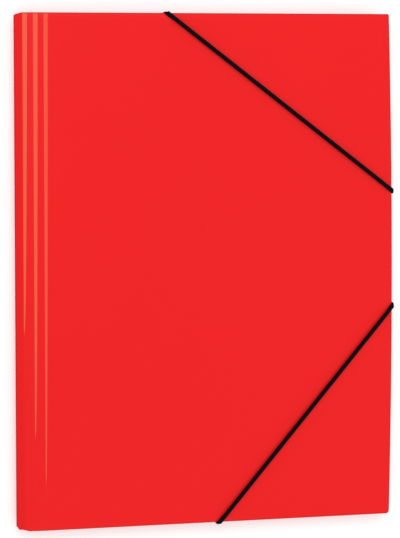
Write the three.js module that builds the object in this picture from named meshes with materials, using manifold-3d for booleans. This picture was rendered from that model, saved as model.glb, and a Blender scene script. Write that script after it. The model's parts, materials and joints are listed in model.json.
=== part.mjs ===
import * as THREE from "three";
import { mergeVertices } from "three/addons/utils/BufferGeometryUtils.js";
import Module from "manifold-3d";

const wasm = await Module();
wasm.setup();

// A closed three flap folder of creased plastic sheet, lying on its back, in millimetres.
// X runs from the spine to the free edge, Y up the front cover and Z out of it.

// The sheet and the front cover
const sheetThickness = 0.5;
const coverWidth = 240;
const coverHeight = 320;
const cornerRadius = 2;
const freeEdgeBow = 2;

// The spine: strips between creases, which step down from the front panel to the hinge fold
const stripWidth = 6.45;
const stripSlopes = [30, 9, 3];
const lastStripRun = 5.8;
const spineEndRecess = 1.1;
const spineRecessStart = 8.6;
const spineRecessEnd = 4.7;

// The creases: each is pressed wide at its top end, which narrows over the given length
const creaseDepth = 0.15;
const creaseWidth = 0.8;
const pressedWidth = 2.8;
const pressedLengths = [199.5, 264, 294];

// The pocket and its flaps
const pocketDepth = 5;
const pocketInset = 1;
const bendRadius = 0.8;
const cornerRelief = 5;
const endFlapLength = 85;
const sideFlapLength = 95;
const flapTaper = 12;
const flapCornerRadius = 14;
const layerGap = 0.4;

// The elastics: where each crosses the folder's edges, and the holes that hold its ends
const elasticDiameter = 2.5;
const upperFromSpine = 96;
const upperFromTop = 112.4;
const lowerFromSpine = 128.4;
const lowerFromBottom = 133.4;
const holeInset = 9;
const holeBend = 1.7;

// The metal clips crimped on the elastics' ends
const clipLength = 14;
const clipWidth = 2.8;
const clipThickness = 1;
const crimpLength = 4.6;
const crimpWidth = 3.8;
const crimpHeight = 2.2;
const crimpRounding = 0.5;

// Free space between pieces that lie on each other, and how finely round things are cut
const clearance = 0.3;
const bowSteps = 12;
const arcSteps = 5;
const quarterSides = 3;

// Plan positions
const halfWidth = coverWidth / 2;
const halfHeight = coverHeight / 2;
const bowRadius = (halfHeight ** 2 + freeEdgeBow ** 2) / (2 * freeEdgeBow);
const beyond = 10;

// Heights from the floor, which the elastics lie on
const standoff = elasticDiameter / 2 + clearance;
const backBottom = elasticDiameter + clearance;
const backTop = backBottom + sheetThickness;
const backMid = (backBottom + backTop) / 2;
const endFlapTop = backTop + pocketDepth + sheetThickness;
const sideFlapTop = endFlapTop + layerGap + sheetThickness;
const coverBottom = sideFlapTop + layerGap;
const coverTop = coverBottom + sheetThickness;
const coverMid = (coverBottom + coverTop) / 2;

// The spine's folds in section: the hinge fold, then each crease up to the front panel
const stripAngles = stripSlopes.map((slope) => THREE.MathUtils.degToRad(slope));
const spineDrop = stripAngles.reduce((sum, angle) => sum + stripWidth * Math.sin(angle), 0);
const hingeFold = new THREE.Vector2(-halfWidth, coverMid - spineDrop);
const backFold = new THREE.Vector2(-halfWidth + lastStripRun, backMid);
const creases = creaseFolds();

function creaseFolds() {
  const folds = [];
  let fold = hingeFold;
  for (const angle of stripAngles) {
    fold = fold.clone().add(new THREE.Vector2(Math.cos(angle), Math.sin(angle)).multiplyScalar(stripWidth));
    folds.push(fold);
  }
  return folds;
}

// A closed body as a solid that can be joined and cut
function solidOf(geometry) {
  geometry.deleteAttribute("normal");
  geometry.deleteAttribute("uv");
  const merged = mergeVertices(geometry, 1e-4);
  const mesh = new wasm.Mesh({
    numProp: 3,
    vertProperties: Float32Array.from(merged.attributes.position.array),
    triVerts: Uint32Array.from(merged.index.array),
  });
  return new wasm.Manifold(mesh);
}

function geometryOf(solid) {
  const mesh = solid.getMesh();
  const geometry = new THREE.BufferGeometry();
  geometry.setAttribute("position", new THREE.BufferAttribute(mesh.vertProperties, 3));
  geometry.setIndex(new THREE.BufferAttribute(mesh.triVerts, 1));
  return geometry;
}

// A closed outline through corners given as [x, y, radius]
function roundedOutline(corners) {
  const outline = new THREE.Shape();
  corners.forEach(([x, y, radius = 0], index) => {
    const corner = new THREE.Vector2(x, y);
    const [beforeX, beforeY] = corners.at(index - 1);
    const [afterX, afterY] = corners[(index + 1) % corners.length];
    const before = new THREE.Vector2(beforeX, beforeY).sub(corner).normalize();
    const after = new THREE.Vector2(afterX, afterY).sub(corner).normalize();
    const halfAngle = Math.acos(THREE.MathUtils.clamp(before.dot(after), -1, 1)) / 2;
    const reach = radius / Math.tan(halfAngle);
    const start = corner.clone().addScaledVector(before, reach);
    if (index === 0) {
      outline.moveTo(start.x, start.y);
    } else {
      outline.lineTo(start.x, start.y);
    }
    if (radius > 0) {
      const end = corner.clone().addScaledVector(after, reach);
      const centre = before.add(after).normalize().multiplyScalar(radius / Math.sin(halfAngle)).add(corner);
      const startAngle = start.sub(centre).angle();
      const endAngle = end.sub(centre).angle();
      const clockwise = start.cross(end) < 0;
      outline.absarc(centre.x, centre.y, radius, startAngle, endAngle, clockwise);
    }
  });
  return outline;
}

// A flat plate of the given outline between two heights
function plate(outline, bottom, top) {
  const geometry = new THREE.ExtrudeGeometry(outline, {
    depth: top - bottom,
    bevelEnabled: false,
    curveSegments: arcSteps,
  });
  geometry.translate(0, 0, bottom);
  return solidOf(geometry);
}

// A block whose long edges are rounded, drawn in by an inset
function roundedBlock(outline, bottom, top, radius, inset = 0) {
  const geometry = new THREE.ExtrudeGeometry(outline, {
    depth: top - bottom - 2 * radius,
    bevelEnabled: true,
    bevelThickness: radius,
    bevelSize: radius,
    bevelOffset: -radius - inset,
    bevelSegments: 3,
    curveSegments: arcSteps,
  });
  geometry.translate(0, 0, bottom + radius);
  return solidOf(geometry);
}

// The band between two offsets of a section line, which runs towards +X
function sectionBand(line, lower, upper) {
  const side = (offset) =>
    line.map((point, index) => {
      const before = line[Math.max(index - 1, 0)];
      const after = line[Math.min(index + 1, line.length - 1)];
      const arriving = point.clone().sub(index > 0 ? before : point);
      const leaving = after.clone().sub(point);
      const first = (index > 0 ? arriving : leaving.clone()).normalize();
      const second = (index < line.length - 1 ? leaving : first.clone()).normalize();
      const mitre = new THREE.Vector2(-first.y - second.y, first.x + second.x).normalize();
      const stretch = offset / (mitre.y * first.x - mitre.x * first.y);
      return point.clone().addScaledVector(mitre, stretch);
    });
  return new THREE.Shape([...side(lower), ...side(upper).reverse()]);
}

// A section extruded along Y, centred
function extrudeAlongY(section, length) {
  const geometry = new THREE.ExtrudeGeometry(section, { depth: length, bevelEnabled: false });
  geometry.translate(0, 0, -length / 2);
  geometry.rotateX(Math.PI / 2);
  return solidOf(geometry);
}

// The free edge bows outward a little between its corners
function freeEdgeAt(y) {
  return halfWidth + freeEdgeBow - bowRadius + Math.sqrt(bowRadius ** 2 - y ** 2);
}

function freeEdgeCorners(inset, radius) {
  const reach = halfHeight - inset;
  const corners = [];
  for (let step = 0; step <= bowSteps; step += 1) {
    const y = reach * ((2 * step) / bowSteps - 1);
    const atEnd = step === 0 || step === bowSteps;
    corners.push([freeEdgeAt(y) - inset, y, atEnd ? radius : 0]);
  }
  return corners;
}

// The front cover: the front panel and the creased strips, as far as the hinge fold.
// Its first strip and the back's last strip stop short of the fold, so that it can turn.
const lastSlope = Math.atan2(hingeFold.y - backFold.y, lastStripRun);
const foldHalfAngle = (stripAngles[0] + lastSlope) / 2;
const foldRelief = sheetThickness / 2 / Math.tan(foldHalfAngle) + clearance / 2 / Math.sin(foldHalfAngle);

function coverLine() {
  const firstStrip = creases[0].clone().sub(hingeFold).normalize();
  const start = hingeFold.clone().addScaledVector(firstStrip, foldRelief);
  const end = new THREE.Vector2(halfWidth + freeEdgeBow + beyond, coverMid);
  return [start, ...creases, end];
}

function coverOutline() {
  const recessed = halfHeight - spineEndRecess;
  const left = -halfWidth - beyond;
  return roundedOutline([
    [left, -recessed],
    [-halfWidth + spineRecessEnd, -recessed],
    [-halfWidth + spineRecessStart, -halfHeight],
    ...freeEdgeCorners(0, cornerRadius),
    [-halfWidth + spineRecessStart, halfHeight],
    [-halfWidth + spineRecessEnd, recessed],
    [left, recessed],
  ]);
}

// A crease's outline: straight on its spine side, wide at the top and narrow below
function creaseOutline(left, pressedLength) {
  const top = halfHeight + beyond;
  const widening = (pressedWidth - creaseWidth) * (1 + beyond / pressedLength);
  return new THREE.Shape([
    new THREE.Vector2(left, -top),
    new THREE.Vector2(left + creaseWidth, -top),
    new THREE.Vector2(left + creaseWidth, halfHeight - pressedLength),
    new THREE.Vector2(left + creaseWidth + widening, top),
    new THREE.Vector2(left, top),
  ]);
}

function frontCover() {
  const line = coverLine();
  const half = sheetThickness / 2;
  const sheet = extrudeAlongY(sectionBand(line, -half, half), coverHeight + beyond);
  let cover = sheet.intersect(plate(coverOutline(), 0, coverTop + beyond));
  const surface = extrudeAlongY(sectionBand(line, half - creaseDepth, half + 1), coverHeight + beyond);
  creases.forEach((crease, index) => {
    const outline = creaseOutline(crease.x, pressedLengths[index]);
    cover = cover.subtract(surface.intersect(plate(outline, 0, coverTop + beyond)));
  });
  return cover;
}

// The back cover with the spine's last strip, and the walls and flaps folded up from it
const pocketHeight = halfHeight - pocketInset;
const backLeft = backFold.x + cornerRelief;

function pocketOutline() {
  return roundedOutline([[backFold.x, -pocketHeight], ...freeEdgeCorners(pocketInset, 0), [backFold.x, pocketHeight]]);
}

// A hollow box with rounded bends, which each flap with its wall and lap is cut from
function foldedBox(top) {
  const outline = pocketOutline();
  const outside = roundedBlock(outline, backBottom, top, bendRadius);
  const innerRadius = bendRadius - sheetThickness;
  return outside.subtract(
    roundedBlock(outline, backTop, top - sheetThickness, innerRadius, sheetThickness),
  );
}

// A flap's outline in plan: its wall is on the line at start, and it points along the turn
function flapOutline(start, turn, centre, halfBase, length) {
  const tip = halfBase - flapTaper;
  const corners = [
    [-beyond, -halfBase],
    [0, -halfBase],
    [length, -tip, flapCornerRadius],
    [length, tip, flapCornerRadius],
    [0, halfBase],
    [-beyond, halfBase],
  ];
  const origin = new THREE.Vector2();
  const placed = corners.map(([along, across, radius = 0]) => {
    const point = new THREE.Vector2(along + start, across + centre).rotateAround(origin, turn);
    return [point.x, point.y, radius];
  });
  return roundedOutline(placed);
}

function sideFlap() {
  const halfBase = pocketHeight - cornerRelief;
  const start = -freeEdgeAt(0) + pocketInset;
  const outline = flapOutline(start, Math.PI, 0, halfBase, sideFlapLength + freeEdgeBow);
  return foldedBox(sideFlapTop).intersect(plate(outline, 0, coverBottom));
}

function endFlap(direction) {
  const right = freeEdgeAt(pocketHeight) - pocketInset - cornerRelief;
  const centre = (backLeft + right) / 2;
  const turn = (-direction * Math.PI) / 2;
  const outline = flapOutline(-pocketHeight, turn, direction * centre, (right - backLeft) / 2, endFlapLength);
  return foldedBox(endFlapTop).intersect(plate(outline, 0, coverBottom));
}

function backPlate() {
  const inset = pocketInset + bendRadius;
  const left = backFold.x + bendRadius;
  const reach = halfHeight - inset;
  const outline = roundedOutline([[left, -reach], ...freeEdgeCorners(inset, cornerRadius), [left, reach]]);
  return plate(outline, backBottom, backTop);
}

function lastSpineStrip() {
  const strip = backFold.clone().sub(hingeFold).normalize();
  const start = hingeFold.clone().addScaledVector(strip, foldRelief);
  const lapEnd = new THREE.Vector2(backFold.x + cornerRelief, backMid);
  const half = sheetThickness / 2;
  const length = coverHeight - 2 * Math.max(spineEndRecess, pocketInset + bendRadius);
  return extrudeAlongY(sectionBand([start, backFold, lapEnd], -half, half), length);
}

function cordHole({ x, y }) {
  const radius = elasticDiameter / 2 + clearance;
  const geometry = new THREE.CylinderGeometry(radius, radius, 3 * sheetThickness, 4 * quarterSides);
  geometry.rotateX(Math.PI / 2);
  geometry.translate(x, y, backMid);
  return solidOf(geometry);
}

function backCoverAndFlaps(holes) {
  let back = backPlate().add(lastSpineStrip()).add(sideFlap()).add(endFlap(1)).add(endFlap(-1));
  for (const hole of holes) {
    back = back.subtract(cordHole(hole));
  }
  return back;
}

// An elastic's plan: straight over the front, then round the edges and back to its holes
function elasticPlan(end, fromSpine, sideY) {
  const endEdge = new THREE.Vector2(-halfWidth + fromSpine, end * halfHeight);
  const sideEdge = new THREE.Vector2(freeEdgeAt(sideY), sideY);
  const along = sideEdge.clone().sub(endEdge).normalize();
  const homeward = new THREE.Vector2(-along.x, along.y);
  const endTurn = endEdge.addScaledVector(along, -standoff / Math.abs(along.y));
  const sideTurn = sideEdge.addScaledVector(along, standoff / along.x);
  const endRun = (standoff + holeInset) / Math.abs(along.y);
  const sideRun = (standoff + holeInset) / along.x;
  return {
    endTurn,
    sideTurn,
    endHole: endTurn.clone().addScaledVector(homeward, endRun),
    sideHole: sideTurn.clone().addScaledVector(homeward, sideRun),
  };
}

const upperPlan = elasticPlan(1, upperFromSpine, halfHeight - upperFromTop);
const lowerPlan = elasticPlan(-1, lowerFromSpine, lowerFromBottom - halfHeight);

// The points of a route through corners, each rounded by its radius
function roundedRoute(corners) {
  const points = [];
  corners.forEach(({ at, radius = 0 }, index) => {
    if (radius === 0) {
      points.push(at);
      return;
    }
    const before = corners[index - 1].at.clone().sub(at).normalize();
    const after = corners[index + 1].at.clone().sub(at).normalize();
    const halfAngle = before.angleTo(after) / 2;
    const reach = radius / Math.tan(halfAngle);
    const start = at.clone().addScaledVector(before, reach);
    const end = at.clone().addScaledVector(after, reach);
    const bisector = before.clone().add(after).normalize();
    const centre = at.clone().addScaledVector(bisector, radius / Math.sin(halfAngle));
    const turn = Math.PI - 2 * halfAngle;
    const axis = start.clone().sub(centre).cross(end.clone().sub(centre)).normalize();
    for (let step = 0; step <= arcSteps; step += 1) {
      const spoke = start.clone().sub(centre).applyAxisAngle(axis, (turn * step) / arcSteps);
      points.push(spoke.add(centre));
    }
  });
  return points;
}

// A route straight from point to point, one step of the extrusion for each
class PointRoute extends THREE.Curve {
  constructor(points) {
    super();
    this.points = points;
  }

  getPoint(t, target = new THREE.Vector3()) {
    const place = t * (this.points.length - 1);
    const index = Math.min(Math.floor(place), this.points.length - 2);
    return target.lerpVectors(this.points[index], this.points[index + 1], place - index);
  }

  getUtoTmapping(u) {
    return u;
  }
}

function elasticGeometry({ endTurn, sideTurn, endHole, sideHole }) {
  const low = elasticDiameter / 2;
  const high = coverTop + standoff;
  const at = (point, z) => new THREE.Vector3(point.x, point.y, z);
  const points = roundedRoute([
    { at: at(endHole, backTop) },
    { at: at(endHole, low), radius: holeBend },
    { at: at(endTurn, low), radius: standoff },
    { at: at(endTurn, high), radius: standoff },
    { at: at(sideTurn, high), radius: standoff },
    { at: at(sideTurn, low), radius: standoff },
    { at: at(sideHole, low), radius: holeBend },
    { at: at(sideHole, backTop) },
  ]);
  const section = new THREE.Shape();
  section.absarc(0, 0, elasticDiameter / 2, 0, 2 * Math.PI, false);
  return new THREE.ExtrudeGeometry(section, {
    steps: points.length - 1,
    extrudePath: new PointRoute(points),
    curveSegments: 2 * quarterSides,
  });
}

// A clip: a flat metal bar across its hole, with a crimp in the middle that grips the elastic
function clipGeometry() {
  const half = clipLength / 2;
  const side = clipWidth / 2;
  const bar = plate(
    roundedOutline([
      [-half, -side, side * 0.99],
      [half, -side, side * 0.99],
      [half, side, side * 0.99],
      [-half, side, side * 0.99],
    ]),
    0,
    clipThickness,
  );
  const grip = roundedOutline([
    [-crimpLength / 2, -crimpWidth / 2],
    [crimpLength / 2, -crimpWidth / 2],
    [crimpLength / 2, crimpWidth / 2],
    [-crimpLength / 2, crimpWidth / 2],
  ]);
  return geometryOf(bar.add(roundedBlock(grip, 0, crimpHeight, crimpRounding)));
}

const sheetMaterial = new THREE.MeshStandardMaterial({ color: 0xef2728, roughness: 0.45, metalness: 0 });
const elasticMaterial = new THREE.MeshStandardMaterial({ color: 0x0c0810, roughness: 0.85, metalness: 0 });
const clipMaterial = new THREE.MeshStandardMaterial({ color: 0xb4b4b4, roughness: 0.35, metalness: 1 });

const folder = new THREE.Group();

function addPiece(name, geometry, material) {
  const mesh = new THREE.Mesh(geometry, material);
  mesh.name = name;
  folder.add(mesh);
  return mesh;
}

function addClip(name, hole, angle) {
  const clip = addPiece(name, clipGeometry(), clipMaterial);
  clip.position.set(hole.x, hole.y, backTop + clearance);
  clip.rotation.z = angle;
}

const holes = [upperPlan.endHole, upperPlan.sideHole, lowerPlan.sideHole, lowerPlan.endHole];
addPiece("back_cover_and_flaps", geometryOf(backCoverAndFlaps(holes)), sheetMaterial);
addPiece("front_cover", geometryOf(frontCover()), sheetMaterial);
addPiece("elastic_upper", elasticGeometry(upperPlan), elasticMaterial);
addPiece("elastic_lower", elasticGeometry(lowerPlan), elasticMaterial);
addClip("clip_upper_top", upperPlan.endHole, 0);
addClip("clip_upper_side", upperPlan.sideHole, Math.PI / 2);
addClip("clip_lower_side", lowerPlan.sideHole, Math.PI / 2);
addClip("clip_lower_bottom", lowerPlan.endHole, 0);

// The part's origin is at the middle of its plan, on the floor
const bounds = new THREE.Box3().setFromObject(folder);
const middle = bounds.getCenter(new THREE.Vector3());
folder.position.set(-middle.x, -middle.y, -bounds.min.z);

export default folder;
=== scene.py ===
"""A closed three flap folder of red plastic sheet with two corner elastics, dressed on its CAD frame."""

import json
import math

import bmesh
import bpy
from bpy.props import FloatProperty, FloatVectorProperty, IntProperty, PointerProperty
from bpy.types import Operator, Panel, PropertyGroup
from mathutils import Matrix, Vector


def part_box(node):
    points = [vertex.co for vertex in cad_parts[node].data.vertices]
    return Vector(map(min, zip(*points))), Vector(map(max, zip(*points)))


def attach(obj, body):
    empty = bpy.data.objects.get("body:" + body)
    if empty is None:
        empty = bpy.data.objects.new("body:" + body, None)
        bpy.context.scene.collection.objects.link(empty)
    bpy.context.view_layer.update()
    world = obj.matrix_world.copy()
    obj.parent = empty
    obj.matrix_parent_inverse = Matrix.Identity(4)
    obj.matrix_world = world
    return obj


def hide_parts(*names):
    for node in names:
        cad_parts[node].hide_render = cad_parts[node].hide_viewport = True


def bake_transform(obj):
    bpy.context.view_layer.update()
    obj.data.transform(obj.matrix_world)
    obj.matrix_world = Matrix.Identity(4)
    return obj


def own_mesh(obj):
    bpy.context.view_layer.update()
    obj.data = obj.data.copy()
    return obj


bl_info = {
    "name": "Three Flap Folder",
    "version": (1, 0, 0),
    "blender": (4, 5, 0),
    "location": "View3D > Sidebar > Folder",
    "description": "Builds a plastic three flap folder with its elastics, clips, light and camera",
    "category": "Object",
}

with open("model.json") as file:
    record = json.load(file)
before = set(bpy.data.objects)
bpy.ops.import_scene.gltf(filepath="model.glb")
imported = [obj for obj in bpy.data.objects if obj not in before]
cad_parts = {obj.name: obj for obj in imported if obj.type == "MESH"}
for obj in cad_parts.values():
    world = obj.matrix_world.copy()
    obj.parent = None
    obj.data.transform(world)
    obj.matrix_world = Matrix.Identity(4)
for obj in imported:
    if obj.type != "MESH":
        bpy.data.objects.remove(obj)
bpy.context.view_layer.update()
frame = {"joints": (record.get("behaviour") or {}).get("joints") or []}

MM = 0.001

# Where the frame puts the folder, in metres
COVER_LOW, COVER_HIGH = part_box("front_cover")
BACK_LOW, BACK_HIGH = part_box("back_cover_and_flaps")
HINGE = Vector(frame["joints"][0]["pos_m"])
MIDDLE_Y = (COVER_LOW.y + COVER_HIGH.y) / 2
HALF_HEIGHT = (COVER_HIGH.y - COVER_LOW.y) / 2
SHEET = 0.5 * MM
BOW = 2 * MM
FREE_CORNER_X = COVER_HIGH.x - BOW
BACK_MID_Z = BACK_LOW.z + SHEET / 2
COVER_MID_Z = COVER_HIGH.z - SHEET / 2

# The spine, from the hinge fold up to the front panel and down to the back
STRIP_WIDTH = 6.45 * MM
STRIP_SLOPES = [math.radians(slope) for slope in (30, 9, 3)]
LAST_STRIP_RUN = 5.8 * MM
FRONT_LEVEL_RUN = 4 * MM
FOLD_EDGE_X = HINGE.x + 0.83 * MM
FOLD_HALF_HEIGHT = 0.5 * MM

# How far the spine's ends stand back, and between which distances from the fold that eases off
TOP_RECESS = (1 * MM, 0.8 * MM, 6 * MM)
BOTTOM_RECESS = (0.8 * MM, 4.7 * MM, 8.6 * MM)

# How far the fold's own ends are drawn in at its outer edge, and over which width
TOP_FOLD_END = (0.6 * MM, 1 * MM)
BOTTOM_FOLD_END = (1.8 * MM, 1.6 * MM)

# The pressed bands of the three creases, painted paler partly for the sheet's whitening where it is pressed
# and partly as a painted highlight that tapers down the cover: how far they run down from the top edge,
# their widths there, the powers by which they narrow and how pale they are painted
PRESSED_LENGTHS = [199.5 * MM, 264 * MM, 294 * MM]
PRESSED_WIDTHS = [2.8 * MM, 2.8 * MM, 2.5 * MM]
PRESSED_TAPERS = [0.45, 0.46, 0.5]
PRESSED_HIGHLIGHT_LEVELS = [1, 0.98, 0.82]
PRESSED_HIGHLIGHT_SOFTNESS = 0.28 * MM
PRESSED_HIGHLIGHT_FADE = 40
GROOVE_SLOPE = 0.3 * MM
GROOVE_MARGIN = 0.5 * MM
# The width of the painted shade along the cover's edges and the fold
RIM_SHADE_WIDTH = 0.6 * MM

# The rounded corners of the cover's free edge, and the stretch beside it that has fine rows for them
TOP_CORNER = 0.8 * MM
BOTTOM_CORNER = 2 * MM
FINE_ROWS_RUN = 1.2 * BOTTOM_CORNER

# The pocket
POCKET_DEPTH = 5 * MM
POCKET_INSET = 1 * MM
CORNER_RELIEF = 5 * MM
END_FLAP_LENGTH = 85 * MM
SIDE_FLAP_LENGTH = 95 * MM
FLAP_TAPER = 12 * MM
FLAP_CORNER = 14 * MM
FLAP_BASE = 0.6 * MM
FLAP_THINNER = 0.04 * MM
BEND = 0.55 * MM
END_FLAP_MID_Z = BACK_LOW.z + 1.5 * SHEET + POCKET_DEPTH
SIDE_FLAP_MID_Z = BACK_HIGH.z - SHEET / 2

# The bends of the sheet's section and the steps of its mesh, from the back's edge round to the free edge
SECTION_BENDS = [1.2 * MM, 0.72 * MM, 1.5 * MM, 3 * MM, 3 * MM, 1 * MM, 1 * MM]
SECTION_STEPS = [8 * MM, 0.7 * MM, 0.3 * MM, 0.3 * MM, 0.3 * MM, 0.3 * MM, 8 * MM, 0.2 * MM]
FLAP_STEPS = [0.6 * MM, 1.2 * MM, 6 * MM, 0.7 * MM]
BEND_SPACING = 0.12 * MM
LEAST_TURN = math.radians(1)
LEAST_CUT_EDGE = math.radians(50)
WELD = 0.005 * MM

# Where the elastics cross the edges, and the holes that hold their ends
UPPER_FROM_SPINE = 96 * MM
UPPER_FROM_TOP = 112.4 * MM
LOWER_FROM_SPINE = 128.4 * MM
LOWER_FROM_BOTTOM = 133.4 * MM
HOLE_INSET = 9 * MM
CAD_STANDOFF = 1.55 * MM
ELASTIC_GAP = 0.08 * MM
ELASTIC_TUCK = POCKET_INSET - 0.15 * MM
HOLE_BEND = 1.4 * MM
UNDER_BEND = 1.2 * MM
TOP_BEND = 1.1 * MM

# How the elastics thin and spread where the edges pinch them, and the steps of their mesh
TOP_PINCH = 0.6
PINCH_LENGTH = 6 * MM
PINCH_SPREAD = 0.25
CORD_SIDES = 36
CORD_SPACING = 0.25 * MM
CORD_BEND_STEPS = 6
CORD_WELD = 0.0001 * MM

# The straights of an elastic's route, between a first and a last one that pass through its holes
UNDER_TO_END, ROUND_END, ACROSS, ROUND_SIDE, UNDER_TO_HOLE = range(1, 6)

# The clips: a bar, and the crimp round its middle
CLIP_BAR = (14 * MM, 2.8 * MM, 1 * MM)
CLIP_BAR_CORNER = 1.3 * MM
CLIP_BAR_ROUNDING = 0.28 * MM
CRIMP_LENGTH = 4.6 * MM
CRIMP_WIDTH = 3.8 * MM
SEAM_DEPTH = 0.35 * MM
LEVEL_TOLERANCE = 0.01 * MM
LEAST_SEAM_AREA = 0.1 * MM**2
SMOOTHED_AREA = 0.2 * MM**2

# The room, the lamps with their places and powers, and the camera
ROOM_LEVEL = 0.6
FLOOR_GLOW = 0.26
LAMP_SIZE = 1.2
LAMPS = {
    "lamp_top": ((0.0, 1.5, 1.6), 11),
    "lamp_left": ((-0.75, 0.8, 1.9), 9),
    "lamp_right": ((1.7, -0.3, 1.3), 7),
    "lamp_bottom": ((-0.2, -1.7, 1.5), 7),
}
CAMERA_LENS = 180
CAMERA_SENSOR = 36
CAMERA_SHIFT_Y = -0.3
CAMERA_REACH = 20
CAMERA_ROLL = math.radians(0.167)
CAMERA_TILT = math.radians(1.801)
CAMERA_SWING = math.radians(12.504)
CAMERA_SLIDE = (0.0036, -0.0751)


def crease_places():
    """The creases' places in the section, as (x, z) on the sheet's mid-line."""
    places = []
    x, z = HINGE.x, HINGE.z
    for slope in STRIP_SLOPES:
        x += STRIP_WIDTH * math.cos(slope)
        z += STRIP_WIDTH * math.sin(slope)
        places.append((x, z))
    return places


CREASES = crease_places()


def free_edge_bow(y):
    """How far the free edge bows out at a height up the cover."""
    radius = (HALF_HEIGHT**2 + BOW**2) / (2 * BOW)
    return BOW - radius + math.sqrt(radius**2 - min(abs(y - MIDDLE_Y), HALF_HEIGHT) ** 2)


def pressed_width(index, y):
    """The width of a crease's pressed band at a height up the cover."""
    share = 1 - (MIDDLE_Y + HALF_HEIGHT - y) / PRESSED_LENGTHS[index]
    return PRESSED_WIDTHS[index] * min(max(share, 0), 1) ** PRESSED_TAPERS[index]


def smooth_step(value):
    """A smooth rise from 0 to 1."""
    value = min(max(value, 0), 1)
    return value * value * (3 - 2 * value)


class SheetSettings(PropertyGroup):
    """Sizes and colours of the plastic sheet."""

    colour: FloatVectorProperty(
        name="Colour", description="Colour of the sheet", subtype="COLOR", size=3, min=0, max=1,
        default=(0.862, 0.0036, 0.0046),
    )
    # The pressed colour is partly the sheet's whitening at a pressed crease and partly a painted highlight
    pressed_highlight_colour: FloatVectorProperty(
        name="Pressed Colour", description="Colour where the sheet is pressed thin at a crease",
        subtype="COLOR", size=3, min=0, max=1, default=(0.9, 0.098, 0.045),
    )
    crease_depth: FloatProperty(
        name="Crease Depth", description="How deep the creases are pressed", default=0.00014, min=0,
        unit="LENGTH", precision=5,
    )
    edge_rounding: FloatProperty(
        name="Edge Rounding", description="Rounding of the cut edges", default=0.00012, min=0,
        unit="LENGTH", precision=5,
    )
    row_spacing: FloatProperty(
        name="Row Spacing", description="Distance between the mesh's rows", default=0.004, min=0.001,
        unit="LENGTH", precision=4,
    )


class ElasticSettings(PropertyGroup):
    """Sizes and colour of the elastics."""

    colour: FloatVectorProperty(
        name="Colour", description="Colour of the braid", subtype="COLOR", size=3, min=0, max=1,
        default=(0.002, 0.0011, 0.0028),
    )
    diameter: FloatProperty(
        name="Diameter", description="Thickness of the cord", default=0.0027, min=0.001,
        unit="LENGTH", precision=4,
    )
    pinched: FloatProperty(
        name="Pinched", description="Thickness where the cord is pulled round an edge", default=0.0015,
        min=0.0005, unit="LENGTH", precision=4,
    )
    strand_height: FloatProperty(
        name="Strand Height", description="How far the braid's strands stand out", default=0.00014,
        min=0, unit="LENGTH", precision=5,
    )
    strands: IntProperty(name="Strands", description="Strands round the cord each way", default=6, min=2)


class ClipSettings(PropertyGroup):
    """Sizes of the metal clips."""

    rounding: FloatProperty(
        name="Rounding", description="Rounding of the bent metal", default=0.0004, min=0,
        unit="LENGTH", precision=5,
    )
    seam: FloatProperty(
        name="Seam", description="Width of the seam where the crimp closes", default=0.0005, min=0,
        unit="LENGTH", precision=5,
    )


class StageSettings(PropertyGroup):
    """The floor, the light and the camera."""

    floor_size: FloatProperty(
        name="Floor Size", description="Width of the floor", default=6, min=1, unit="LENGTH",
    )
    lamp_level: FloatProperty(name="Lamp Level", description="Strength of the lamps", default=0.86, min=0)
    camera_distance: FloatProperty(
        name="Camera Distance", description="Distance from the folder's face", default=1.2533, min=0.2,
        unit="LENGTH",
    )


class Wire:
    """A number in a material, which Python's operators work on by adding Math nodes."""

    def __init__(self, paint, socket):
        self.paint = paint
        self.socket = socket

    def maths(self, operation, *others, clamp=False):
        """A Math node on this number and others."""
        settings = {"operation": operation, "use_clamp": clamp}
        return self.paint.add("ShaderNodeMath", settings, dict(enumerate((self, *others))))[0]

    def __add__(self, other):
        return self.maths("ADD", other)

    __radd__ = __add__

    def __sub__(self, other):
        return self.maths("SUBTRACT", other)

    def __rsub__(self, other):
        return (self * -1) + other

    def __mul__(self, other):
        return self.maths("MULTIPLY", other)

    __rmul__ = __mul__

    def __truediv__(self, other):
        return self.maths("DIVIDE", other)

    def __pow__(self, other):
        return self.maths("POWER", other)

    def clamped(self):
        """This number kept between 0 and 1."""
        return self.maths("ADD", 0, clamp=True)


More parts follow.
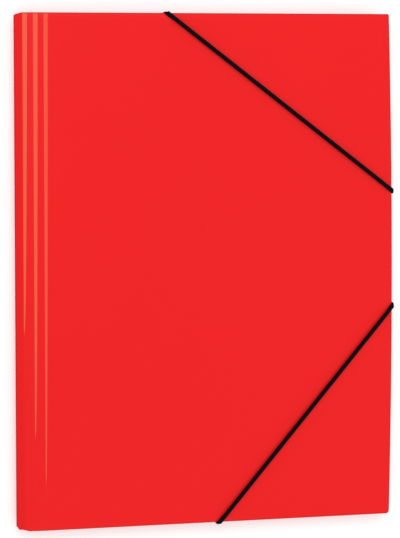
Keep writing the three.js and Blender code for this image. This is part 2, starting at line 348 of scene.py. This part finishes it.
class Paint:
    """The nodes of a new material, or of the world, before one shader."""

    def __init__(self, owner, shader="Principled BSDF"):
        owner.use_nodes = True
        self.owner = owner
        self.nodes = owner.node_tree.nodes
        self.links = owner.node_tree.links
        self.shader = self.nodes[shader]

    def put(self, socket, value):
        """Links a wire to a socket, or sets its value."""
        if isinstance(value, Wire):
            self.links.new(value.socket, socket)
        else:
            socket.default_value = value

    def add(self, kind, settings=None, sockets=None):
        """A node of a kind, with its settings and sockets; returns its outputs as wires."""
        node = self.nodes.new(kind)
        for name, value in (settings or {}).items():
            setattr(node, name, value)
        for name, value in (sockets or {}).items():
            self.put(node.inputs[name], value)
        return [Wire(self, output) for output in node.outputs]

    def mix(self, factor, first, second):
        """One colour turning into another."""
        return self.add("ShaderNodeMix", {"data_type": "RGBA"}, {0: factor, 6: first, 7: second})[2]

    def noise(self, vector, scale, detail=2.0, roughness=0.5):
        """A noise pattern's value."""
        sockets = {"Vector": vector, "Scale": scale, "Detail": detail, "Roughness": roughness}
        return self.add("ShaderNodeTexNoise", {}, sockets)[0]

    def streaks(self, vector, scale):
        """A noise pattern drawn out into streaks."""
        place = self.add("ShaderNodeMapping", {}, {"Vector": vector, "Scale": scale})[0]
        return self.noise(place, 1.0, 3.0)

    def bump(self, height, distance, strength=1.0, normal=None):
        """A bump from a height."""
        sockets = {"Height": height, "Distance": distance, "Strength": strength}
        if normal:
            sockets["Normal"] = normal
        return self.add("ShaderNodeBump", {}, sockets)[0]

    def seen(self):
        """1 for what the camera sees, also in a reflection or through glass, and 0 for what lights."""
        camera, _, _, glossy, _, _, transmission, *_ = self.add("ShaderNodeLightPath")
        return (camera + glossy + transmission).clamped()

    def object_place(self):
        """The Object coordinates."""
        return self.add("ShaderNodeTexCoord")[3]

    def finish(self, **sockets):
        """Sets the shader's sockets by name, with _ for a space, and returns the owner."""
        for name, value in sockets.items():
            self.put(self.shader.inputs[name.replace("_", " ")], value)
        return self.owner


def new_paint(name):
    """The nodes of a new material."""
    return Paint(bpy.data.materials.new(name))


def shade(colour, level=1.0):
    """A colour at a level of its brightness, with full alpha."""
    return (*(channel * level for channel in colour), 1)


def pressed_highlight_mask(paint, place):
    """Where the sheet is pressed thin beside its creases and painted pale, partly for its whitening there
    and partly as a painted highlight that tapers down the cover.
    """
    x, y, z = paint.add("ShaderNodeSeparateXYZ", {}, {"Vector": place})
    bands = []
    for index, (crease_x, _) in enumerate(CREASES):
        length = PRESSED_LENGTHS[index]
        share = ((y - (MIDDLE_Y + HALF_HEIGHT - length)) / length).clamped()
        width = (share ** PRESSED_TAPERS[index]) * PRESSED_WIDTHS[index]
        left = ((x - (crease_x - PRESSED_HIGHLIGHT_SOFTNESS / 2)) / PRESSED_HIGHLIGHT_SOFTNESS).clamped()
        right = ((width + (crease_x + PRESSED_HIGHLIGHT_SOFTNESS) - x) / PRESSED_HIGHLIGHT_SOFTNESS).clamped()
        fade = (share * PRESSED_HIGHLIGHT_FADE).clamped()
        bands.append(left * right * fade * PRESSED_HIGHLIGHT_LEVELS[index])
    outer_band, middle_band, inner_band = bands
    # The paler crease bands: a painted highlight, partly the sheet's whitening where it is pressed
    pressed = outer_band.maths("MAXIMUM", middle_band).maths("MAXIMUM", inner_band)
    streaks = paint.streaks(place, (900, 12, 100))
    above_fold = ((z - HINGE.z) / MM).clamped()
    return (pressed * above_fold * (streaks * 0.16 + 0.92)).clamped()


def rim_shade_mask(paint, place):
    """The narrow rim along the cover's edges and the fold, painted darker as shade."""
    x, y, _ = paint.add("ShaderNodeSeparateXYZ", {}, {"Vector": place})
    from_middle = (y - MIDDLE_Y).maths("ABSOLUTE")
    bow = (1 - (from_middle / HALF_HEIGHT) ** 2) * BOW
    from_free_edge = FREE_CORNER_X - x + bow
    from_fold = x - FOLD_EDGE_X
    nearest = (HALF_HEIGHT - from_middle).maths("MINIMUM", from_free_edge).maths("MINIMUM", from_fold)
    return (1.5 - nearest / RIM_SHADE_WIDTH).clamped()


def sheet_plastic(settings, creased):
    """Satin polypropylene with a fine grain; if creased, paler at the creases, partly for its whitening
    there and partly as a painted highlight, and with painted shade along its rim.
    """
    paint = new_paint("creased_polypropylene" if creased else "satin_polypropylene")
    if creased:
        place = paint.add("ShaderNodeAttribute", {"attribute_name": "closed_place"})[1]
    else:
        place = paint.object_place()
    cloud = paint.noise(place, 9.0, 3.0)
    colour = paint.mix((cloud * 1.6 - 0.3).clamped(), shade(settings.colour, 0.985), shade(settings.colour))
    grain = paint.noise(place, 1500.0, 2.0, 0.6)
    wipe = paint.noise(place, 28.0, 4.0, 0.6)
    rough = wipe * 0.1 + 0.38
    if creased:
        pressed = pressed_highlight_mask(paint, place)
        # Painted highlight along the creases, partly the sheet's whitening where it is pressed
        colour = paint.mix(pressed, colour, shade(settings.pressed_highlight_colour))
        # Painted shade: a darker rim along the cover's edges and the fold
        colour = paint.mix(rim_shade_mask(paint, place), colour, shade(settings.colour, 0.74))
        rough = rough - pressed * 0.06
    orange_peel = paint.noise(place, 260.0, 1.0)
    normal = paint.bump(grain, 0.00002, 0.35)
    normal = paint.bump(orange_peel, 0.00004, 0.3, normal)
    return paint.finish(
        Base_Color=colour, Roughness=rough, Normal=normal, IOR=1.49, Specular_IOR_Level=0.26
    )


def braid_fabric(settings):
    """Black braided yarn over a rubber core, from the cord's own UV map."""
    paint = new_paint("black_braid")
    cord_map = paint.add("ShaderNodeUVMap", {"uv_map": "cord"})[0]
    around, along, _ = paint.add("ShaderNodeSeparateXYZ", {}, {"Vector": cord_map})
    turns = 2 * math.pi * settings.strands
    first = ((around + along) * turns).maths("SINE")
    second = ((around - along) * turns).maths("SINE")
    weave = first.maths("MAXIMUM", second) * 0.5 + 0.5
    fibre = paint.noise(paint.object_place(), 9000.0, 2.0)
    # Painted highlight and shade: the braid is painted lighter on its strands' crowns and darker between
    # them, with a random fibre tone
    lit = (weave * 0.6 + fibre * 0.4).clamped()
    colour = paint.mix(lit, shade(settings.colour, 0.2), shade(settings.colour, 2.2))
    rough = fibre * 0.15 + 0.72
    normal = paint.bump(weave * 0.7 + fibre * 0.3, 0.00012, 0.7)
    return paint.finish(Base_Color=colour, Roughness=rough, Normal=normal, Specular_IOR_Level=0.06)


def clip_metal():
    """Plated sheet steel with fine rolling lines and rubbed high spots."""
    paint = new_paint("plated_steel")
    place = paint.object_place()
    lines = paint.streaks(place, (300, 6000, 6000))
    spots = paint.noise(place, 900.0, 3.0)
    colour = paint.mix(spots, (0.42, 0.42, 0.44, 1), (0.62, 0.62, 0.63, 1))
    normal = paint.bump(lines, 0.00002, 0.4)
    return paint.finish(Base_Color=colour, Metallic=1.0, Roughness=lines * 0.2 + 0.34, Normal=normal)


def floor_paint():
    """Matt white, which stays white to the camera away from the shadow."""
    paint = new_paint("white_floor")
    mottle = paint.noise(paint.object_place(), 6.0, 3.0)
    colour = paint.mix(mottle, (0.86, 0.86, 0.86, 1), (0.88, 0.88, 0.88, 1))
    glow = paint.mix(paint.seen(), (0, 0, 0, 1), (1, 1, 1, 1))
    return paint.finish(
        Base_Color=colour, Roughness=0.9, Specular_IOR_Level=0.1, Emission_Color=glow,
        Emission_Strength=FLOOR_GLOW,
    )


def new_piece(name, mesh_bm, material, body, nodes=(), smooth=True):
    """A named object from a bmesh, riding on a body in place of CAD nodes."""
    mesh = bpy.data.meshes.new(name)
    mesh_bm.to_mesh(mesh)
    mesh_bm.free()
    if smooth:
        mesh.shade_smooth()
    mesh.materials.append(material)
    piece = bpy.data.objects.new(name, mesh)
    bpy.context.scene.collection.objects.link(piece)
    if body:
        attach(piece, body)
    if nodes:
        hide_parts(*nodes)
    return piece


def finish_edges(piece, thickness, rounding):
    """Gives a sheet its thickness and rounds its cut edges."""
    wall = piece.modifiers.new("thickness", "SOLIDIFY")
    wall.thickness = thickness
    wall.offset = 0
    wall.use_even_offset = True
    edge = piece.modifiers.new("edges", "BEVEL")
    edge.width = rounding
    edge.segments = 2
    edge.limit_method = "ANGLE"
    edge.angle_limit = LEAST_CUT_EDGE


def start_row(bm, length, rows, centre=0.0):
    """A line of vertices along Y, to extrude a sheet from."""
    ends = [bm.verts.new((0, centre + side * length / 2, 0)) for side in (-1, 1)]
    edge = bm.edges.new(ends)
    bmesh.ops.subdivide_edges(bm, edges=[edge], cuts=rows - 1)
    return list(bm.edges)


def push_on(bm, edges, step):
    """Extrudes a row of edges by a step and returns the new row."""
    made = bmesh.ops.extrude_edge_only(bm, edges=edges)["geom"]
    verts = [item for item in made if isinstance(item, bmesh.types.BMVert)]
    bmesh.ops.translate(bm, verts=verts, vec=step)
    return [item for item in made if isinstance(item, bmesh.types.BMEdge)]


def turn_on(bm, edges, centre, axis, angle, steps):
    """Spins a row of edges round a bend and returns the new row."""
    made = bmesh.ops.spin(bm, geom=edges, cent=centre, axis=axis, angle=angle, steps=steps)["geom_last"]
    return [item for item in made if isinstance(item, bmesh.types.BMEdge)]


def along_straight(bm, edges, direction, length, spacing):
    """Extrudes a row in equal steps along a direction."""
    count = max(1, round(length / spacing))
    for _ in range(count):
        edges = push_on(bm, edges, direction * (length / count))
    return edges


def turn_between(bm, edges, corner, arriving, leaving, radius):
    """Spins a row round a bend in the XZ plane; the row is already at the bend's start."""
    angle = math.atan2(leaving.z, leaving.x) - math.atan2(arriving.z, arriving.x)
    angle = (angle + math.pi) % (2 * math.pi) - math.pi
    side = math.copysign(1, angle)
    reach = radius * math.tan(abs(angle) / 2)
    start = corner - arriving * reach
    normal = Vector((-arriving.z, 0, arriving.x)) * side
    steps = max(2, round(radius * abs(angle) / BEND_SPACING))
    return turn_on(bm, edges, start + normal * radius, (0, -1, 0), angle, steps)


def fold_sheet(bm, row, corners, radii, spacings):
    """Carries a row of edges along a section's corners, with each bend rounded."""
    reach_before = 0
    for index in range(len(corners) - 1):
        here, there = corners[index], corners[index + 1]
        arriving = (there - here).normalized()
        reach = 0
        if index < len(corners) - 2:
            leaving = (corners[index + 2] - there).normalized()
            turn = arriving.angle(leaving)
            reach = radii[index] * math.tan(turn / 2) if turn > LEAST_TURN else 0
        length = (there - here).length - reach - reach_before
        row = along_straight(bm, row, arriving, length, spacings[index])
        if reach:
            row = turn_between(bm, row, there, arriving, leaving, radii[index])
        reach_before = reach
    return row


def recess_at(x, recess):
    """How far a spine strip's end stands back from the cover's top or bottom edge."""
    depth, full, none = recess
    return depth * smooth_step((none - (x - HINGE.x)) / (none - full))


def round_corner(x, edge_x, radius):
    """How far a rounded corner draws an end edge in at a distance from the side edge."""
    inside = min(max(x - (edge_x - radius), 0), radius)
    return radius - math.sqrt(max(radius**2 - inside**2, 0))


def shape_cover(bm, crease_depth):
    """Bows the free edge, rounds its corners, draws the spine's ends in and presses the creases."""
    for vert in bm.verts:
        x, y, z = vert.co
        y -= MIDDLE_Y
        is_front = z > HINGE.z + FOLD_HALF_HEIGHT
        drawn = recess_at(x, TOP_RECESS if y > 0 else BOTTOM_RECESS)
        if is_front:
            drawn += round_corner(x, FREE_CORNER_X, TOP_CORNER if y > 0 else BOTTOM_CORNER)
        elif z < HINGE.z - FOLD_HALF_HEIGHT:
            drawn = max(drawn, (POCKET_INSET + BEND) * smooth_step((x - HINGE.x) / LAST_STRIP_RUN))
        depth, width = TOP_FOLD_END if y > 0 else BOTTOM_FOLD_END
        drawn += depth * smooth_step(1 - (x - FOLD_EDGE_X) / width)
        y *= (HALF_HEIGHT - drawn) / HALF_HEIGHT
        reach = (x - HINGE.x) / (FREE_CORNER_X - HINGE.x)
        x += free_edge_bow(y + MIDDLE_Y) * smooth_step(reach)
        if is_front:
            for index, (crease_x, _) in enumerate(CREASES):
                width = pressed_width(index, y + MIDDLE_Y) + GROOVE_MARGIN
                into = (x - crease_x) / GROOVE_SLOPE
                out = (crease_x + width - x) / GROOVE_SLOPE
                z -= crease_depth * smooth_step(into) * smooth_step(out)
        vert.co = (x, y + MIDDLE_Y, z)


def mark_closed_place(bm):
    """Stores where the closed sheet lies, so that its patterns stay on it when it opens."""
    layer = bm.verts.layers.float_vector.new("closed_place")
    for vert in bm.verts:
        vert[layer] = vert.co


class FOLDER_OT_cover_and_back(Operator):
    """Folds the front cover, the creased spine and the back cover from one sheet"""

    bl_idname = "folder.cover_and_back"
    bl_label = "Cover, Spine and Back"

    def execute(self, context):
        settings = context.scene.folder_sheet
        bm = bmesh.new()
        rows = round(2 * HALF_HEIGHT / settings.row_spacing)
        row = start_row(bm, 2 * HALF_HEIGHT, rows, MIDDLE_Y)
        back_edge = FREE_CORNER_X - POCKET_INSET - BEND
        back_fold = Vector((HINGE.x + LAST_STRIP_RUN, 0, BACK_MID_Z))
        corners = [Vector((back_edge, 0, BACK_MID_Z)), back_fold, Vector((HINGE.x, 0, HINGE.z))]
        corners += [Vector((x, 0, z)) for x, z in CREASES]
        corners += [
            Vector((CREASES[2][0] + FRONT_LEVEL_RUN, 0, COVER_MID_Z)),
            Vector((FREE_CORNER_X - FINE_ROWS_RUN, 0, COVER_MID_Z)),
            Vector((FREE_CORNER_X, 0, COVER_MID_Z)),
        ]
        bmesh.ops.translate(bm, verts=bm.verts, vec=corners[0])
        fold_sheet(bm, row, corners, SECTION_BENDS, SECTION_STEPS)
        bmesh.ops.remove_doubles(bm, verts=bm.verts, dist=WELD)
        shape_cover(bm, settings.crease_depth)
        mark_closed_place(bm)
        bmesh.ops.recalc_face_normals(bm, faces=bm.faces)
        piece = new_piece(
            "cover_and_back_sheet", bm, sheet_plastic(settings, True), None,
            ["front_cover", "back_cover_and_flaps"],
        )
        finish_edges(piece, SHEET, settings.edge_rounding)
        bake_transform(piece)
        return {"FINISHED"}


def flap_half_width(along, half_base, length):
    """A flap's half width at a distance from its fold, tapered and with round corners."""
    half = half_base - FLAP_TAPER * min(max(along / length, 0), 1)
    return half - round_corner(along, length, FLAP_CORNER)


def fold_flap(bm, half_base, length, flap_z, spacing, bow=None):
    """A wall and flap folded up from a line at the local Y axis, pointing to local -X."""
    row = start_row(bm, 2 * half_base, round(2 * half_base / spacing))
    corners = [
        Vector((-BEND - FLAP_BASE, 0, BACK_MID_Z)),
        Vector((-SHEET / 2, 0, BACK_MID_Z)),
        Vector((-SHEET / 2, 0, flap_z)),
        Vector((-length + FLAP_CORNER, 0, flap_z)),
        Vector((-length, 0, flap_z)),
    ]
    bmesh.ops.translate(bm, verts=bm.verts, vec=corners[0])
    fold_sheet(bm, row, corners, [BEND, BEND, BEND], FLAP_STEPS)
    bmesh.ops.remove_doubles(bm, verts=bm.verts, dist=WELD)
    for vert in bm.verts:
        x, y, z = vert.co
        y *= flap_half_width(-x, half_base, length) / half_base
        if bow:
            x += bow(y)
        vert.co = (x, y, z)


class FOLDER_OT_flaps(Operator):
    """Folds the pocket's walls and the top, bottom and side flaps"""

    bl_idname = "folder.flaps"
    bl_label = "Flaps"

    def execute(self, context):
        settings = context.scene.folder_sheet
        material = sheet_plastic(settings, False)
        pocket_half = HALF_HEIGHT - POCKET_INSET
        left = HINGE.x + LAST_STRIP_RUN + CORNER_RELIEF
        right = FREE_CORNER_X - POCKET_INSET - CORNER_RELIEF
        side = bmesh.new()
        fold_flap(
            side, pocket_half - CORNER_RELIEF, SIDE_FLAP_LENGTH, SIDE_FLAP_MID_Z, settings.row_spacing,
            lambda y: free_edge_bow(y + MIDDLE_Y),
        )
        bmesh.ops.translate(side, verts=side.verts, vec=(FREE_CORNER_X - POCKET_INSET, MIDDLE_Y, 0))
        flaps = {"side_flap": side}
        for name, end in (("top_flap", 1), ("bottom_flap", -1)):
            bm = bmesh.new()
            fold_flap(bm, (right - left) / 2, END_FLAP_LENGTH, END_FLAP_MID_Z, settings.row_spacing)
            quarter_turn = Matrix.Rotation(end * math.pi / 2, 3, "Z")
            place = ((left + right) / 2, MIDDLE_Y + end * pocket_half, 0)
            bmesh.ops.rotate(bm, verts=bm.verts, cent=(0, 0, 0), matrix=quarter_turn)
            bmesh.ops.translate(bm, verts=bm.verts, vec=place)
            flaps[name] = bm
        for name, bm in flaps.items():
            bmesh.ops.recalc_face_normals(bm, faces=bm.faces)
            piece = new_piece(name, bm, material, "back")
            finish_edges(piece, SHEET - FLAP_THINNER, settings.edge_rounding)
        return {"FINISHED"}


def elastic_plan(end, from_spine, side_y):
    """Where an elastic turns round the edges and where its holes are, seen from above."""
    end_edge = Vector((HINGE.x + from_spine, MIDDLE_Y + end * HALF_HEIGHT))
    side_edge = Vector((FREE_CORNER_X + free_edge_bow(side_y), side_y))
    along = (side_edge - end_edge).normalized()
    homeward = Vector((-along.x, along.y))
    end_turn = end_edge - along * (CAD_STANDOFF / abs(along.y))
    side_turn = side_edge + along * (CAD_STANDOFF / along.x)
    end_hole = end_turn + homeward * ((CAD_STANDOFF + HOLE_INSET) / abs(along.y))
    side_hole = side_turn + homeward * ((CAD_STANDOFF + HOLE_INSET) / along.x)
    return end_edge, side_edge, along, end_hole, side_hole


def pinches(settings, end):
    """An elastic's half thickness over its end edge and over the side edge."""
    half = settings.pinched / 2
    return half * (TOP_PINCH if end > 0 else 1), half


def elastic_route(settings, end, plan):
    """The cord's corners from one hole to the other, each with its bend and outward direction."""
    end_edge, side_edge, along, end_hole, side_hole = plan
    end_pinch, side_pinch = pinches(settings, end)
    under = BACK_LOW.z / 2
    inner = BACK_LOW.z + SHEET
    end_turn = end_edge - along * ((end_pinch + ELASTIC_GAP) / abs(along.y))
    side_turn = side_edge + along * ((side_pinch + ELASTIC_GAP) / along.x)
    down = Vector((0, 0, -1))
    end_out = Vector((0, end, 0))
    side_out = Vector((1, 0, 0))
    return [
        (Vector((end_hole.x, end_hole.y, inner)), 0, down),
        (Vector((end_hole.x, end_hole.y, under)), HOLE_BEND, down),
        (Vector((end_turn.x, end_turn.y - end * ELASTIC_TUCK, under)), UNDER_BEND, end_out),
        (Vector((end_turn.x, end_turn.y, COVER_HIGH.z + end_pinch)), TOP_BEND, -down),
        (Vector((side_turn.x, side_turn.y, COVER_HIGH.z + side_pinch)), TOP_BEND, side_out),
        (Vector((side_turn.x - ELASTIC_TUCK, side_turn.y, under)), UNDER_BEND, down),
        (Vector((side_hole.x, side_hole.y, under)), HOLE_BEND, down),
        (Vector((side_hole.x, side_hole.y, inner)), 0, down),
    ]


def from_edge(straight, travelled, length):
    """How far along the cord a place on one of its straights is from the edge that pinches it."""
    if straight in (ROUND_END, ROUND_SIDE):
        return 0
    if straight == UNDER_TO_END:
        return length - travelled
    if straight == ACROSS:
        return min(travelled, length - travelled)
    if straight == UNDER_TO_HOLE:
        return travelled
    return PINCH_LENGTH


def half_thickness(settings, pinch, distance):
    """The cord's half thickness at a distance from the edge that pinches it."""
    return pinch + (settings.diameter / 2 - pinch) * smooth_step(distance / PINCH_LENGTH)


def elastic_stations(settings, end, plan):
    """The cord's stations along its route: centre, outward direction and half thickness."""
    end_pinch, side_pinch = pinches(settings, end)
    route = elastic_route(settings, end, plan)
    stations = []
    trim = 0
    for index in range(len(route) - 1):
        start, _, out = route[index]
        stop, bend, next_out = route[index + 1]
        arriving = (stop - start).normalized()
        reach = 0
        if bend:
            leaving = (route[index + 2][0] - stop).normalized()
            turn = arriving.angle(leaving)
            reach = bend * math.tan(turn / 2)
        length = (stop - start).length - trim - reach
        count = max(2, round(length / CORD_SPACING))
        for step in range(count + 1):
            travelled = length * step / count
            near_end = index < ACROSS or (index == ACROSS and travelled < length / 2)
            pinch = end_pinch if near_end else side_pinch
            thick = half_thickness(settings, pinch, from_edge(index, travelled, length))
            centre = start + arriving * (trim + travelled)
            if index == ACROSS:
                centre.z = COVER_HIGH.z + thick
            stations.append((centre, out, thick))
        if bend:
            pinch = end_pinch if index < ACROSS else side_pinch
            at_edge = UNDER_TO_END <= index <= ROUND_SIDE
            thick = half_thickness(settings, pinch, 0 if at_edge else PINCH_LENGTH)
            side = (leaving - arriving * arriving.dot(leaving)).normalized()
            pivot = stop - arriving * reach + side * bend
            for step in range(1, CORD_BEND_STEPS):
                angle = turn * step / CORD_BEND_STEPS
                spoke = arriving * math.sin(angle) - side * math.cos(angle)
                stations.append((pivot + spoke * bend, out.lerp(next_out, step / CORD_BEND_STEPS), thick))
        trim = reach
    return stations


def sweep_cord(bm, stations, settings):
    """A braided cord rolled up from a grid, with a UV map round and along it."""
    last = len(stations) - 1
    radius = settings.diameter / 2
    lay = 2 * math.pi * radius
    travelled = [0.0]
    for before, after in zip(stations, stations[1:]):
        travelled.append(travelled[-1] + (after[0] - before[0]).length)
    bmesh.ops.create_grid(bm, x_segments=last, y_segments=CORD_SIDES, size=1)
    layer = bm.loops.layers.uv.new("cord")
    cells = {}
    for vert in bm.verts:
        cells[vert] = (round((vert.co.x + 1) / 2 * last), round((vert.co.y + 1) / 2 * CORD_SIDES))
    for face in bm.faces:
        for loop in face.loops:
            index, side = cells[loop.vert]
            loop[layer].uv = (side / CORD_SIDES, travelled[index] / lay)
    for vert, (index, side) in cells.items():
        centre, out, thick = stations[index]
        tangent = (stations[min(index + 1, last)][0] - stations[max(index - 1, 0)][0]).normalized()
        outward = (out - tangent * out.dot(tangent)).normalized()
        if outward.length == 0:
            # In its holes the cord runs along its outward direction, and any side will do
            outward = Vector((0, 1, 0))
        across = tangent.cross(outward)
        width = radius + (radius - thick) * PINCH_SPREAD
        angle = 2 * math.pi * side / CORD_SIDES
        place = 2 * math.pi * travelled[index] / lay
        waves = [math.sin(settings.strands * (angle + lean * place)) for lean in (1, -1)]
        swell = settings.strand_height * (max(waves) - 1) / 2
        vert.co = centre + outward * (math.cos(angle) * (thick + swell))
        vert.co += across * (math.sin(angle) * (width + swell))
    bmesh.ops.remove_doubles(bm, verts=bm.verts, dist=CORD_WELD)
    bmesh.ops.holes_fill(bm, edges=bm.edges, sides=CORD_SIDES)
    bmesh.ops.recalc_face_normals(bm, faces=bm.faces)


UPPER = (1, elastic_plan(1, UPPER_FROM_SPINE, MIDDLE_Y + HALF_HEIGHT - UPPER_FROM_TOP))
LOWER = (-1, elastic_plan(-1, LOWER_FROM_SPINE, MIDDLE_Y - HALF_HEIGHT + LOWER_FROM_BOTTOM))


class FOLDER_OT_elastics(Operator):
    """Pulls the two braided elastics across the corners"""

    bl_idname = "folder.elastics"
    bl_label = "Elastics"

    def execute(self, context):
        settings = context.scene.folder_elastic
        material = braid_fabric(settings)
        for node, (end, plan) in {"elastic_upper": UPPER, "elastic_lower": LOWER}.items():
            bm = bmesh.new()
            sweep_cord(bm, elastic_stations(settings, end, plan), settings)
            piece = new_piece(node + "_braid", bm, material, "back", [node])
            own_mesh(piece)
        return {"FINISHED"}


def add_box(bm, size):
    """A box standing on the local ground; returns its vertices."""
    verts = bmesh.ops.create_cube(bm, size=1)["verts"]
    bmesh.ops.scale(bm, verts=verts, vec=size)
    bmesh.ops.translate(bm, verts=verts, vec=(0, 0, size[2] / 2))
    return verts


def round_edges(bm, edges, width, segments):
    """Rounds edges of a bmesh."""
    bmesh.ops.bevel(
        bm, geom=edges, offset=width, segments=segments, profile=0.5, affect="EDGES", material=-1
    )


def edge_rise(edge):
    """How much higher one end of an edge is than the other."""
    return abs(edge.verts[0].co.z - edge.verts[1].co.z)


def crimp_top(bm, height):
    """The level faces on top of a clip's crimp."""
    return [
        face for face in bm.faces
        if face.normal.z > 0.99 and face.calc_center_median().z > height - LEVEL_TOLERANCE
    ]


def clip_mesh(node, settings):
    """A clip's bar and crimp, made in its CAD node's box."""
    low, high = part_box(node)
    size = high - low
    centre = (low + high) / 2
    bm = bmesh.new()
    add_box(bm, CLIP_BAR)
    upright = [edge for edge in bm.edges if edge_rise(edge) > CLIP_BAR[2] / 2]
    round_edges(bm, upright, CLIP_BAR_CORNER, 6)
    rims = [edge for edge in bm.edges if edge_rise(edge) < LEVEL_TOLERANCE]
    round_edges(bm, rims, CLIP_BAR_ROUNDING, 3)
    crimp = add_box(bm, (CRIMP_LENGTH, CRIMP_WIDTH, size.z))
    round_edges(bm, [edge for edge in bm.edges if edge.verts[0] in crimp], settings.rounding, 3)
    for side in (1, -1):
        face = max(crimp_top(bm, size.z), key=lambda face: face.calc_area())
        bmesh.ops.bisect_plane(
            bm, geom=[face, *face.edges, *face.verts], plane_co=(0, side * settings.seam / 2, 0),
            plane_no=(0, 1, 0),
        )
    seam = [
        face for face in crimp_top(bm, size.z)
        if abs(face.calc_center_median().y) < settings.seam / 4 and face.calc_area() > LEAST_SEAM_AREA
    ]
    pressed = bmesh.ops.extrude_face_region(bm, geom=seam)["geom"]
    bmesh.ops.delete(bm, geom=seam, context="FACES_ONLY")
    sunk = [item for item in pressed if isinstance(item, bmesh.types.BMVert)]
    bmesh.ops.translate(bm, verts=sunk, vec=(0, 0, -SEAM_DEPTH))
    bmesh.ops.recalc_face_normals(bm, faces=bm.faces)
    if size.y > size.x:
        bmesh.ops.rotate(bm, verts=bm.verts, cent=(0, 0, 0), matrix=Matrix.Rotation(math.pi / 2, 3, "Z"))
    bmesh.ops.translate(bm, verts=bm.verts, vec=(centre.x, centre.y, low.z))
    return bm


class FOLDER_OT_clips(Operator):
    """Crimps the four metal clips on the elastics' ends"""

    bl_idname = "folder.clips"
    bl_label = "Clips"

    def execute(self, context):
        settings = context.scene.folder_clip
        material = clip_metal()
        for node in ("clip_upper_top", "clip_upper_side", "clip_lower_side", "clip_lower_bottom"):
            bm = clip_mesh(node, settings)
            piece = new_piece(node + "_metal", bm, material, "back", [node], False)
            for polygon in piece.data.polygons:
                polygon.use_smooth = polygon.area < SMOOTHED_AREA
        return {"FINISHED"}


def add_lamp(name, place, power):
    """A square soft lamp that faces the folder."""
    lamp = bpy.data.lights.new(name, "AREA")
    lamp.shape = "SQUARE"
    lamp.size = LAMP_SIZE
    lamp.energy = power
    holder = bpy.data.objects.new(name, lamp)
    holder.location = place
    holder.rotation_euler = (-Vector(place)).to_track_quat("-Z", "Y").to_euler()
    bpy.context.scene.collection.objects.link(holder)


class FOLDER_OT_stage(Operator):
    """Adds the floor, the soft light and the camera at the photograph's angle"""

    bl_idname = "folder.stage"
    bl_label = "Stage"

    def execute(self, context):
        settings = context.scene.folder_stage
        self.add_floor(settings)
        self.add_world(context)
        for name, (place, power) in LAMPS.items():
            add_lamp(name, place, power * settings.lamp_level)
        self.add_camera(context, settings)
        context.scene.view_settings.view_transform = "Standard"
        return {"FINISHED"}

    def add_floor(self, settings):
        """The plain white floor that the folder lies on."""
        bm = bmesh.new()
        bmesh.ops.create_grid(bm, x_segments=1, y_segments=1, size=settings.floor_size / 2)
        mesh = bpy.data.meshes.new("floor")
        bm.to_mesh(mesh)
        bm.free()
        mesh.materials.append(floor_paint())
        floor = bpy.data.objects.new("floor", mesh)
        bpy.context.scene.collection.objects.link(floor)

    def add_world(self, context):
        """The even room light, which is white where it is seen."""
        world = bpy.data.worlds.new("soft_room")
        context.scene.world = world
        paint = Paint(world, "Background")
        paint.finish(Color=(1, 1, 1, 1), Strength=paint.seen() * (1 - ROOM_LEVEL) + ROOM_LEVEL)

    def add_camera(self, context, settings):
        """The camera, far off and slightly to one side, with a long lens."""
        camera = bpy.data.cameras.new("camera")
        camera.sensor_fit = "HORIZONTAL"
        camera.sensor_width = CAMERA_SENSOR
        camera.lens = CAMERA_LENS
        camera.shift_y = CAMERA_SHIFT_Y
        camera.clip_end = CAMERA_REACH
        holder = bpy.data.objects.new("camera", camera)
        turn = Matrix.Rotation(CAMERA_ROLL, 4, "Z")
        turn @= Matrix.Rotation(CAMERA_TILT, 4, "X") @ Matrix.Rotation(CAMERA_SWING, 4, "Y")
        target = Vector(((HINGE.x + FREE_CORNER_X) / 2, MIDDLE_Y, COVER_HIGH.z))
        slide = Matrix.Translation((*CAMERA_SLIDE, -settings.camera_distance))
        holder.matrix_world = (slide @ turn @ Matrix.Translation(-target)).inverted()
        context.scene.collection.objects.link(holder)
        context.scene.camera = holder


class FOLDER_PT_pieces(Panel):
    """Lists the folder's pieces and their settings"""

    bl_idname = "FOLDER_PT_pieces"
    bl_label = "Three Flap Folder"
    bl_space_type = "VIEW_3D"
    bl_region_type = "UI"
    bl_category = "Folder"

    def draw(self, context):
        column = self.layout.column()
        for operator in OPERATORS:
            column.operator(operator.bl_idname)
        for settings in (
            context.scene.folder_sheet, context.scene.folder_elastic, context.scene.folder_clip,
            context.scene.folder_stage,
        ):
            for name in settings.__annotations__:
                column.prop(settings, name)


OPERATORS = (
    FOLDER_OT_cover_and_back,
    FOLDER_OT_flaps,
    FOLDER_OT_elastics,
    FOLDER_OT_clips,
    FOLDER_OT_stage,
)
GROUPS = {
    "folder_sheet": SheetSettings,
    "folder_elastic": ElasticSettings,
    "folder_clip": ClipSettings,
    "folder_stage": StageSettings,
}


def register():
    """Registers the settings, operators and panel."""
    for name, group in GROUPS.items():
        bpy.utils.register_class(group)
        setattr(bpy.types.Scene, name, PointerProperty(type=group))
    for operator in OPERATORS:
        bpy.utils.register_class(operator)
    bpy.utils.register_class(FOLDER_PT_pieces)


def unregister():
    """Takes the panel, operators and settings away again."""
    bpy.utils.unregister_class(FOLDER_PT_pieces)
    for operator in reversed(OPERATORS):
        bpy.utils.unregister_class(operator)
    for name, group in GROUPS.items():
        delattr(bpy.types.Scene, name)
        bpy.utils.unregister_class(group)


def main():
    """Builds the folder and its stage."""
    register()
    bpy.ops.folder.cover_and_back()
    bpy.ops.folder.flaps()
    bpy.ops.folder.elastics()
    bpy.ops.folder.clips()
    bpy.ops.folder.stage()


if __name__ == "__main__":
    main()
